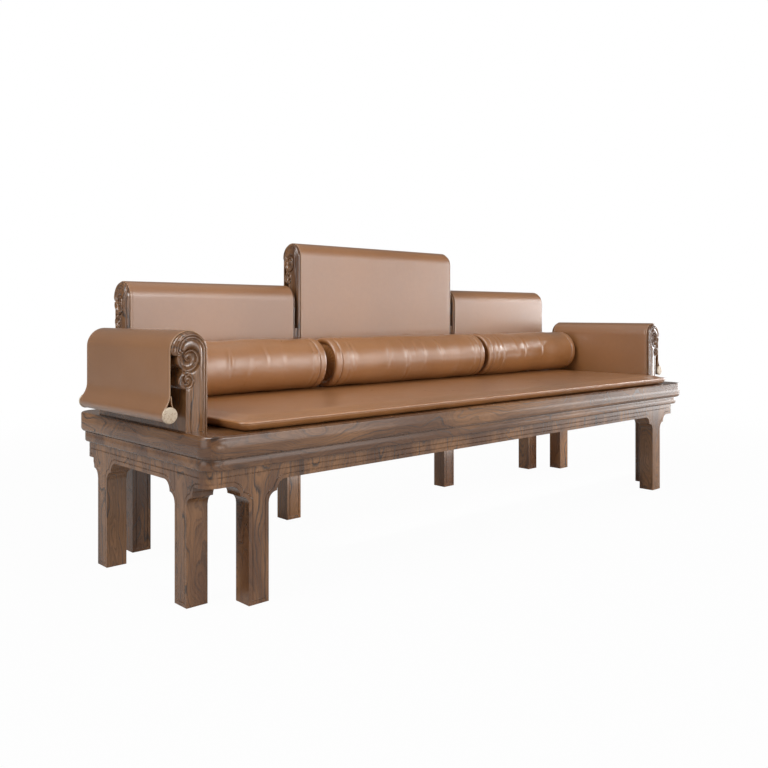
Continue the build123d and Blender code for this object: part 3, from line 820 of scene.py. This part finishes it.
def make_roller(board):
    """The rod in the hide's loop and its two turned bone caps."""
    first, last = HIDE_MARGIN, board.length - HIDE_MARGIN
    radius = ROLLER_RADIUS - 0.1
    profile = [(first, 0.0), (first, radius - 0.4), (first + 1, radius)]
    profile += [(first + last - place, r) for place, r in reversed(profile)]
    parts = [turned(board, profile, f"{board.name}_rod", wood["X" if board.along.x else "Y"], 32)]
    for word, face, way in (("near", first - 1.5, -1), ("far", last + 1.5, 1)):
        profile = [(face + way * out, radius) for out, radius in CAP_PROFILE]
        parts.append(turned(board, profile, f"{board.name}_cap_{word}", bone, 64))
    for part in parts:
        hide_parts(f"{board.name}_roller")
        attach(part, board.hanging)


def turned(board, profile, name, material, count):
    """A turned piece on the roller's line: profile gives (place, radius) from end to end."""
    points, rows = [], []
    for place, radius in profile:
        row = []
        for k in range(count if radius else 1):
            turn = math.tau * k / count
            out, up = ROLLER_OUT + radius * math.cos(turn), ROLLER_HEIGHT + radius * math.sin(turn)
            row.append(board.at(out, place, up))
        rows.append(add_row(points, row))
    return mesh_piece(name, points, join_sections(rows), [material], 40.0)


# ---- seat mat
# Points along the mat's long side, along its short side and round a corner
MAT_POINTS = (150, 46, 9)


def rounded_rectangle(half_x, half_y, radius):
    """Points round a rounded rectangle, with the same count at every size."""
    long_side, short_side, corner = MAT_POINTS
    radius = max(min(radius, half_x, half_y), 0.2)
    x, y = half_x - radius, half_y - radius
    corners = [((x, y), 0), ((-x, y), 90), ((-x, -y), 180), ((x, -y), 270)]
    points = []
    for index, (centre, start) in enumerate(corners):
        points += arc(centre, radius, start, start + 90, corner)
        following, turn = corners[(index + 1) % 4]
        last, to = points[-1], arc(following, radius, turn, turn, 1)[0]
        count = short_side if index % 2 else long_side
        for share in np.arange(1, count) / count:
            points.append((last[0] + (to[0] - last[0]) * share, last[1] + (to[1] - last[1]) * share))
    return points


def fill_ring(ring):
    """Faces across a narrow ring of rounded_rectangle's points, from long side to long side."""
    long_side, short_side, corner = MAT_POINTS
    near = 3 * corner + long_side + short_side
    far_row, near_row = ring[corner : corner + long_side + 1], ring[near : near + long_side + 1][::-1]
    ends = [tuple(ring[corner + long_side : near + 1]), tuple(ring[near + long_side :] + ring[: corner + 1])]
    return join_strips(far_row, near_row) + ends


# (inset from the outline, height) up the mat's edge, in millimetres
MAT_EDGE = [
    (46, 0.6), (26, 0.5), (18, 1.2), (13.4, 2.8), (10.0, 5.4), (7.2, 8.6), (4.9, 11.8), (3.0, 14.8),
    (1.9, 16.8), (2.0, 17.8), (0.8, 19.0), (0.4, 20.6), (0.9, 22.2), (2.4, 23.6), (4.8, 24.5), (8.0, 24.9),
    (13.0, 25.2),
]
MAT_CORNER = 24.0


def make_mat():
    """The thin hide mat: an undercut edge with a welt, and a fuller middle."""
    low, high = corners_of("seat_mat")
    middle = (low + high) / 2
    half_x, half_y = (high.x - low.x) / 2 / MM, (high.y - low.y) / 2 / MM
    crown = (high.z - low.z) / MM
    points, rows = [], []

    def add_ring(inset, rise_of):
        ring = rounded_rectangle(half_x - inset, half_y - inset, MAT_CORNER - inset * 0.6)
        row = [Vector((middle.x + x * MM, middle.y + y * MM, low.z + rise_of(x, y) * MM)) for x, y in ring]
        rows.append(add_row(points, row))

    def top(inset):
        full = 24.9 + (crown - 24.9) * float(ease(inset, 8.0, 52.0))

        def rise(x, y):
            soft = 0.7 * math.sin(x * 0.0093 + 1.3) * math.sin(y * 0.016 + 0.4)
            soft += 0.35 * math.sin(x * 0.027 + y * 0.019) - 0.8
            # It lies flat under the bolsters
            open_seat = 1 - float(ease(y, 95.0, 150.0))
            return min(full + soft * open_seat * float(ease(inset, 10.0, 60.0)), crown)

        return rise

    for inset, height in MAT_EDGE:
        add_ring(inset, lambda x, y, h=height: h + 0.25 * math.sin(x * 0.05 + y * 0.07))
    for inset in (19, 25, 32, 42, 54, 68, 84, 104, 128, 156, 188, 222, 256, half_y - 4):
        add_ring(inset, top(inset))
    faces = join_sections(rows) + [tuple(reversed(rows[0]))] + fill_ring(rows[-1])
    mat = mesh_piece("hide_seat_mat", points, faces, [hide_soft], 80.0)
    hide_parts("seat_mat")
    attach(mat, "mat")


# ---- bolsters
BOLSTER_RADIUS = 82.0
AROUND = 128


def bolster_stations(length):
    """(place from the left end, radius) of a bolster's sections, and its cap's rings."""
    end = [
        (9.0, 0.0), (9.0, 16.0), (8.8, 32.0), (8.6, 46.0), (8.9, 54.0), (9.6, 58.4), (9.8, 60.0),
        (8.2, 61.4), (4.8, 63.6), (2.2, 66.4), (0.6, 69.8), (0.0, 73.0), (0.5, 76.0), (2.2, 78.7),
        (5.0, 80.6), (8.6, 81.6), (12.6, 82.0), (17.0, 81.8), (21.4, 81.6), (24.6, 81.0), (26.3, 79.2),
        (27.6, 77.4), (28.9, 79.2), (30.6, 81.0), (33.0, 81.8), (35.0, 82.0),
    ]
    places = np.linspace(37.0, length - 37.0, int((length - 74) / 2.6))
    middle = [(place, BOLSTER_RADIUS) for place in places]
    return end + middle + [(length - place, radius) for place, radius in reversed(end)]


def puckered(radius):
    """How strongly the end's hide is gathered at a distance from its middle."""
    return float(ease(radius, 36.0, 58.0) * (1 - ease(radius, 62.0, 72.0)))


# Each crease: place along the bed, angle up from the front, depth, width, reach round and lean
CREASES = {
    "bolster_left": [
        (-752, 14, 3.0, 5.9, 0.42, 0.10), (-620, 26, 2.5, 6.5, 0.32, -0.10), (-440, 4, 2.2, 5.2, 0.9, 0.05),
        (-690, -10, 0.9, 9.0, 0.6, 0.2), (-560, 8, 0.8, 12.0, 0.7, -0.1),
    ],
    "bolster_centre": [
        (-290, 4, 2.4, 5.2, 0.95, 0.05), (-268, 16, 2.4, 6.5, 0.6, 0.0), (-112, 14, 3.3, 6.5, 0.45, 0.12),
        (-24, -4, 2.7, 5.9, 0.8, -0.08), (64, 14, 2.8, 6.5, 0.5, 0.05), (22, 28, 1.8, 7.8, 0.4, 0.1),
        (150, 24, 3.0, 5.9, 0.4, -0.15), (336, 2, 1.8, 5.2, 0.9, 0.0), (250, -14, 0.8, 14.0, 0.7, 0.1),
    ],
    "bolster_right": [
        (482, 16, 2.1, 5.9, 0.6, 0.12), (512, 0, 2.7, 5.9, 0.9, 0.0), (652, 20, 3.0, 7.2, 0.4, 0.1),
        (600, 28, 1.4, 9.1, 0.4, -0.1), (770, 18, 2.8, 6.5, 0.4, 0.12), (900, 0, 0.7, 16.0, 0.6, 0.0),
    ],
}


def crease_depth(creases, x, angle):
    """How far the hide is drawn in by its creases, in millimetres."""
    deep = 0.0
    for place, up, depth, wide, reach, lean in creases:
        off_angle = (angle - math.radians(up) + math.pi) % math.tau - math.pi
        off = x - place - lean * 80 * off_angle
        span = wide * (1.5 if off < 0 else 0.55)
        fold = math.exp(-abs(off / span) ** 1.5) - 0.4 * math.exp(-(((off - 1.5 * wide) / (0.9 * wide)) ** 2))
        deep += depth * fold * math.exp(-((off_angle / reach) ** 2))
    return deep


CLOTH_FRAMES = 20
CLOTH = {
    "quality": 4, "mass": 0.4, "tension_stiffness": 12, "compression_stiffness": 12, "bending_stiffness": 0.4,
    "use_pressure": True, "uniform_pressure_force": 4, "shrink_min": -0.035, "vertex_group_mass": "seams",
}


def swollen(name, length, radius, seed):
    """How a filled tube of hide swells, row by row, from a short cloth run."""
    slack, uneven = radius - 3.0, 0.6
    rows_count, around = int(length / 9.0) + 1, 56
    rng = random.Random(seed)
    points, rows = [], []
    for x in np.arange(rows_count) * length / (rows_count - 1):
        row = []
        for turn in math.tau * np.arange(around) / around:
            r = slack + rng.uniform(-uneven, uneven)
            row.append((x * MM, r * math.cos(turn) * MM, r * math.sin(turn) * MM))
        rows.append(add_row(points, row))
    faces = join_sections(rows) + [tuple(reversed(rows[0])), tuple(rows[-1])]
    tube = mesh_piece(f"{name}_filling", points, faces, [])
    pins = tube.vertex_groups.new(name="seams")
    pins.add([v for i in (0, 1, -2, -1) for v in rows[i]], 1.0, "REPLACE")
    cloth = tube.modifiers.new("hide", "CLOTH").settings
    for setting, value in CLOTH.items():
        setattr(cloth, setting, value)
    cloth.effector_weights.gravity = 0
    scene = bpy.context.scene
    for number in range(1, CLOTH_FRAMES + 1):
        scene.frame_set(number)
    settled = tube.evaluated_get(bpy.context.evaluated_depsgraph_get()).to_mesh()
    grid = np.array([v.co[:] for v in settled.vertices]).reshape(rows_count, around, 3)
    scene.frame_set(1)
    bpy.data.objects.remove(tube)
    swell = np.clip(np.hypot(grid[:, :, 1], grid[:, :, 2]) / MM - slack, -3.0, 5.0)
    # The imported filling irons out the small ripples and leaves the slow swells
    for _ in range(14):
        swell = (np.roll(swell, 1, 1) + 2 * swell + np.roll(swell, -1, 1)) / 4
        swell[1:-1] = (swell[:-2] + 2 * swell[1:-1] + swell[2:]) / 4
    return swell - swell.mean()


def make_bolster(name, seed):
    """A round bolster: welted flat ends, a seam near each, and a drawn, creased hide."""
    low, high = corners_of(name)
    length, radius = (high.x - low.x) / MM, (high.z - low.z) / 2 / MM
    centre_y, centre_z = (low.y + high.y) / 2, (low.z + high.z) / 2
    swell = swollen(name, length, radius, seed)
    points, rows = [], []
    for place, ring_radius in bolster_stations(length):
        if ring_radius == 0.0:
            rows.append(add_row(points, [Vector((low.x + place * MM, centre_y, centre_z))]))
            continue
        gap = edge_gap(place, length)
        inland, creased = float(ease(gap, 26.0, 60.0)), float(ease(gap, 4.0, 30.0))
        x = low.x / MM + place
        row = []
        for k in range(AROUND):
            # turn is measured up from the front, so that creases are placed by their angle
            turn = math.tau * k / AROUND
            r = ring_radius * radius / BOLSTER_RADIUS
            r -= crease_depth(CREASES[name], x, turn) * creased
            r -= 0.5 * inland * (1 + math.sin(x * 0.013 + 2 * math.sin(turn + seed)))
            if swell is not None:
                i, j = place / length * (swell.shape[0] - 1), turn / math.tau * swell.shape[1]
                r += 0.8 * inland * sample(swell, i, j)
            r = min(r, radius + 1.5)
            pucker = 0.9 * math.sin(26 * turn + 2 * math.sin(3 * turn + seed)) * puckered(ring_radius)
            inward = pucker if place < length / 2 else -pucker
            y, z = -r * math.cos(turn), max(r * math.sin(turn), 0.3 - radius)
            row.append(Vector((low.x + (place + inward) * MM, centre_y + y * MM, centre_z + z * MM)))
        rows.append(add_row(points, row))
    bolster = mesh_piece(f"hide_{name}", points, join_sections(rows), [hide_soft], 70.0)
    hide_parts(name)
    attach(bolster, name)


def sample(grid, i, j):
    """A grid's value between its points; it closes on itself the second way."""
    i0, j0 = int(i), int(j)
    fi, fj = i - i0, j - j0
    i1, j1 = min(i0 + 1, grid.shape[0] - 1), (j0 + 1) % grid.shape[1]
    j0 %= grid.shape[1]
    near = grid[i0, j0] * (1 - fj) + grid[i0, j1] * fj
    far = grid[i1, j0] * (1 - fj) + grid[i1, j1] * fj
    return near * (1 - fi) + far * fi


# ---- joiner's pieces
def finish_joinery():
    """Walnut on every carried-over node, with its grain along the piece."""
    for name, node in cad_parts.items():
        upright = name.startswith(("leg_", "apron_")) or name.endswith("_posts") or name == "spacer_keys"
        upright = upright or (name.startswith("arm_") and name.endswith("_panel"))
        across = name in ("frame_left", "frame_right", "deck_battens")
        for slot in node.material_slots:
            slot.link = "OBJECT"
            slot.material = wood["Z" if upright else "Y" if across else "X"]


GROOVE_DEPTH = 1.5
FACE_WAYS = {"left": (-1, 0, 0), "right": (1, 0, 0), "front": (0, -1, 0), "back": (0, 1, 0)}
# (inset, rise) of the bead's two steps, in millimetres
BEAD_STEPS = [(0.55, 1.1), (0.40, 0.5)]


def make_beads():
    """A fine rounded bead standing in the grooves that follow the stand's openings."""
    stand = [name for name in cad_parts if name.startswith(("apron_", "leg_"))]
    corners = [corner for name in stand for corner in corners_of(name)]
    for label, way in FACE_WAYS.items():
        way = Vector(way)
        level = max(corner.dot(way) for corner in corners) - GROOVE_DEPTH * MM
        beads = bmesh.new()
        for name in stand:
            beads.from_mesh(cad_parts[name].data)
        others = [
            face
            for face in beads.faces
            if face.normal.dot(way) <= 0.999 or abs(face.calc_center_median().dot(way) - level) >= 0.1 * MM
        ]
        bmesh.ops.delete(beads, geom=others, context="FACES")
        bmesh.ops.remove_doubles(beads, verts=beads.verts, dist=0.02 * MM)
        tops = list(beads.faces)
        for inset, rise in BEAD_STEPS:
            depths = {"thickness": inset * MM, "depth": rise * MM}
            bmesh.ops.inset_region(beads, faces=tops, use_boundary=True, **depths)
        mesh = bpy.data.meshes.new(f"beads_{label}")
        beads.to_mesh(mesh)
        beads.free()
        mesh.polygons.foreach_set("use_smooth", [True] * len(mesh.polygons))
        mesh.materials.append(wood["Z"])
        piece = add_object(mesh.name, mesh)
        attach(piece, "base")


# ---- studio
WHITE = (1, 1, 1, 1)
FLOOR_TONE = (0.5, 0.5, 0.5, 1)
FLOOR_SIZE = 14.0
FLOOR_LEVEL = -0.0005
FLOOR_MIRRORED = 0.04
SURROUND_LIGHT = 0.1
SURROUND_MIRRORED = 0.1


def white_backdrop():
    """A pale floor that keeps a faint shadow, and a white surround."""
    material, tree, shader, place = start_material("pale floor")
    wire(tree, shader, {"Base Color": FLOOR_TONE, "Roughness": 0.9})
    glow = add_node(tree, "ShaderNodeEmission", {"Color": WHITE, "Strength": 1.0})
    path = add_node(tree, "ShaderNodeLightPath").outputs
    far = map_range(tree, vector_calc(tree, "LENGTH", place), 1.6, 4.0, 0.97, 1.0)
    seen = times(tree, path["Is Camera Ray"], far)
    mirrored = calc(tree, "MAXIMUM", path["Is Glossy Ray"], path["Is Transmission Ray"])
    share = calc(tree, "MAXIMUM", seen, times(tree, mirrored, FLOOR_MIRRORED))
    mix = add_node(tree, "ShaderNodeMixShader", {0: share, 1: shader.outputs[0], 2: glow.outputs[0]})
    tree.links.new(mix.outputs[0], tree.nodes["Material Output"].inputs["Surface"])
    corners = [(x * FLOOR_SIZE, y * FLOOR_SIZE, FLOOR_LEVEL) for x, y in ((-1, -1), (1, -1), (1, 1), (-1, 1))]
    floor = mesh_piece("studio_floor", corners, [(0, 1, 2, 3)], [material], tidy=False)

    world = bpy.data.worlds.new("studio")
    bpy.context.scene.world = world
    world.use_nodes = True
    tree = world.node_tree
    tree.nodes.clear()
    path = add_node(tree, "ShaderNodeLightPath").outputs
    seen = calc(tree, "MAXIMUM", path["Is Camera Ray"], path["Is Transmission Ray"])
    soft = add_node(tree, "ShaderNodeBackground", {"Color": WHITE, "Strength": SURROUND_LIGHT})
    white = add_node(tree, "ShaderNodeBackground", {"Color": WHITE, "Strength": 1.0})
    both = calc(tree, "MAXIMUM", seen, times(tree, path["Is Glossy Ray"], SURROUND_MIRRORED))
    mix = add_node(tree, "ShaderNodeMixShader", {0: both, 1: soft.outputs[0], 2: white.outputs[0]})
    add_node(tree, "ShaderNodeOutputWorld", {"Surface": mix.outputs[0]})


def softbox(name, place, aim, size, power):
    lamp = bpy.data.lights.new(name, "AREA")
    lamp.shape = "RECTANGLE"
    lamp.size, lamp.size_y = size
    lamp.energy = power
    box = add_object(name, lamp)
    box.location = place
    box.visible_camera = False
    box.rotation_euler = (Vector(aim) - Vector(place)).to_track_quat("-Z", "Y").to_euler()


CAMERA_PLACE = (-2.0683, -1.9729, 0.6929)
CAMERA_YAW = 43.0531
FOCAL_PIXELS = 823.72
HORIZON_PIXELS_UP = 70.02
FRAME_PIXELS = 768


def set_camera():
    """A level camera; its shift puts the horizon above the picture's middle."""
    middle_y = (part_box("apron_front")[0][1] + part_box("apron_back_centre")[1][1]) / 2
    data = bpy.data.cameras.new("camera")
    data.sensor_width = 36.0
    data.lens = FOCAL_PIXELS / FRAME_PIXELS * data.sensor_width
    data.shift_y = -HORIZON_PIXELS_UP / FRAME_PIXELS
    camera = add_object("camera", data)
    camera.location = Vector(CAMERA_PLACE) + Vector((0, middle_y, 0))
    camera.rotation_euler = (math.radians(90), 0, -math.radians(CAMERA_YAW))
    bpy.context.scene.camera = camera


def set_lights():
    softbox("high left softbox", (-4.6, -0.2, 4.6), (-0.2, 0, 0.4), (3.2, 3.2), 235)
    softbox("overhead softbox", (0.2, 0.0, 5.6), (0.0, 0, 0.4), (8.0, 5.0), 60)
    softbox("left softbox", (-7.5, 0.6, 1.8), (-1.0, 0, 0.6), (4.0, 3.4), 75)
    softbox("high front softbox", (0.8, -6.2, 3.4), (0.0, 0, 0.5), (4.0, 2.0), 225)
    softbox("front softbox", (3.2, -6.4, 1.5), (-0.2, 0, 0.9), (3.4, 3.0), 80)
    softbox("low front softbox", (-1.6, -6.0, 0.50), (0.1, 0, 0.40), (4.0, 0.9), 45)
    softbox("right softbox", (8.0, -1.2, 1.5), (0.6, 0, 0.8), (3.0, 3.0), 380)
    softbox("low right softbox", (3.0, -1.6, 0.22), (0.6, -0.3, 0.36), (1.7, 0.36), 7)
    softbox("softbox below the bed", (0.35, -0.12, 0.13), (0.35, 0.36, 0.17), (1.7, 0.2), 3.0)


# ---- build
finish_joinery()
make_beads()
for number, board in enumerate(boards):
    make_posts(board)
    make_roller(board)
    make_hide(board, 1.7 * number)
make_mat()
for number, bolster_name in enumerate(CREASES):
    make_bolster(bolster_name, 11 + number)
white_backdrop()
set_camera()
set_lights()
bpy.context.scene.view_settings.view_transform = "Standard"
